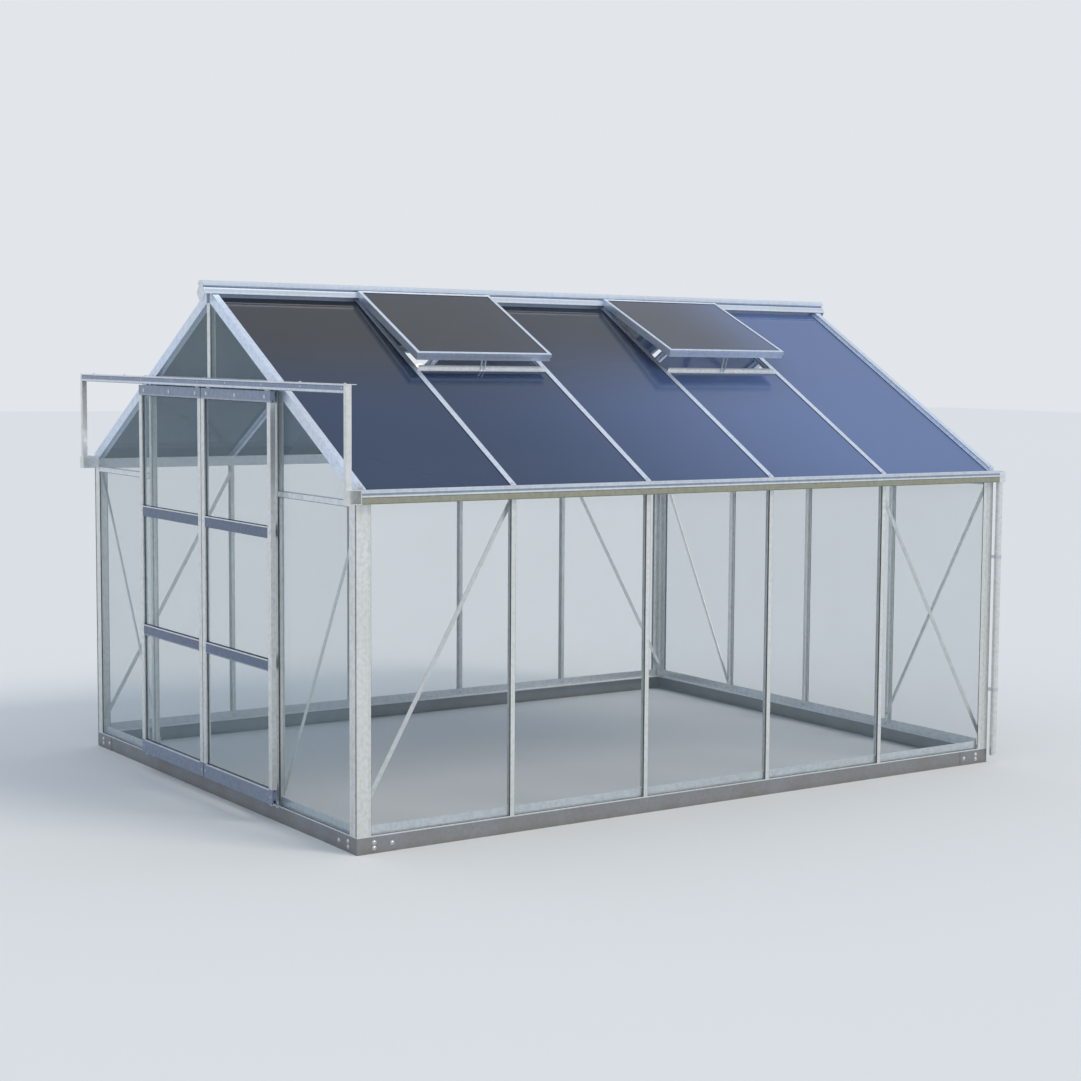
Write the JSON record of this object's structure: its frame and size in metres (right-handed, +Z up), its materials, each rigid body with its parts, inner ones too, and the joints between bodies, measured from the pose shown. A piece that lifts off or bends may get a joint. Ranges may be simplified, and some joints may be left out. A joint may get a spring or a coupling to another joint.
{
  "type": "greenhouse with sliding double doors",
  "caption": "Free-standing greenhouse of ribbed metal bars and clear sheets, with a ridge roof, open roof vents, eave gutters and sliding double doors.",
  "frame": {"origin": "on the ground, under the middle of the whole greenhouse", "axes": "+X along the ridge away from the door gable, -Y out of the front long wall, +Z up"},
  "size_m": [3.782, 3.06, 2.4319],
  "materials": {
    "bar_aluminium": "mill finish, lightly weathered",
    "base_steel": "dull dark grey",
    "clear_sheet": "clear, glossy",
    "roof_sheet": "glossy, reflecting",
    "hanger_steel": "zinc plated"
  },
  "bodies": {
    "house": {"base_side_rails": "base_steel", "base_end_rails": "base_steel", "base_corner_plates": "base_steel", "side_sills": "bar_aluminium", "end_sills": "bar_aluminium", "corner_posts": "bar_aluminium", "front_uprights": "bar_aluminium", "back_uprights": "bar_aluminium", "rear_uprights": "bar_aluminium", "door_jambs": "bar_aluminium", "gable_transoms": "bar_aluminium", "door_header": "bar_aluminium", "gable_mullion": "bar_aluminium", "eave_rails": "bar_aluminium", "eave_gutters": "bar_aluminium", "gutter_outlets": "bar_aluminium", "downpipes": "bar_aluminium", "ridge_beam": "bar_aluminium", "ridge_end_plates": "bar_aluminium", "front_roof_bars": "bar_aluminium", "back_roof_bars": "bar_aluminium", "door_gable_rafters": "bar_aluminium", "rear_gable_rafters": "bar_aluminium", "wall_braces": "bar_aluminium", "front_wall_panes": "clear_sheet", "back_wall_panes": "clear_sheet", "rear_gable_panes": "clear_sheet", "door_gable_panes": "clear_sheet", "front_roof_panes": "roof_sheet", "back_roof_panes": "roof_sheet", "vent_sills": "bar_aluminium", "vent_frames": "bar_aluminium", "vent_panes": "roof_sheet", "vent_stays": "bar_aluminium", "door_track": "bar_aluminium", "track_end_posts": "bar_aluminium", "door_guides": "bar_aluminium"},
    "door_left": {"door_left_stiles": "bar_aluminium", "door_left_rails": "bar_aluminium", "door_left_panes": "clear_sheet", "door_left_hangers": "hanger_steel"},
    "door_right": {"door_right_stiles": "bar_aluminium", "door_right_rails": "bar_aluminium", "door_right_panes": "clear_sheet", "door_right_hangers": "hanger_steel"}
  },
  "joints": [
    {"name": "door_left_slide", "type": "slide", "parent": "house", "child": "door_left", "axis": [0, 1, 0], "range_m": [0, 0.68]},
    {"name": "door_right_slide", "type": "slide", "parent": "house", "child": "door_right", "axis": [0, -1, 0], "range_m": [0, 0.68]}
  ]
}
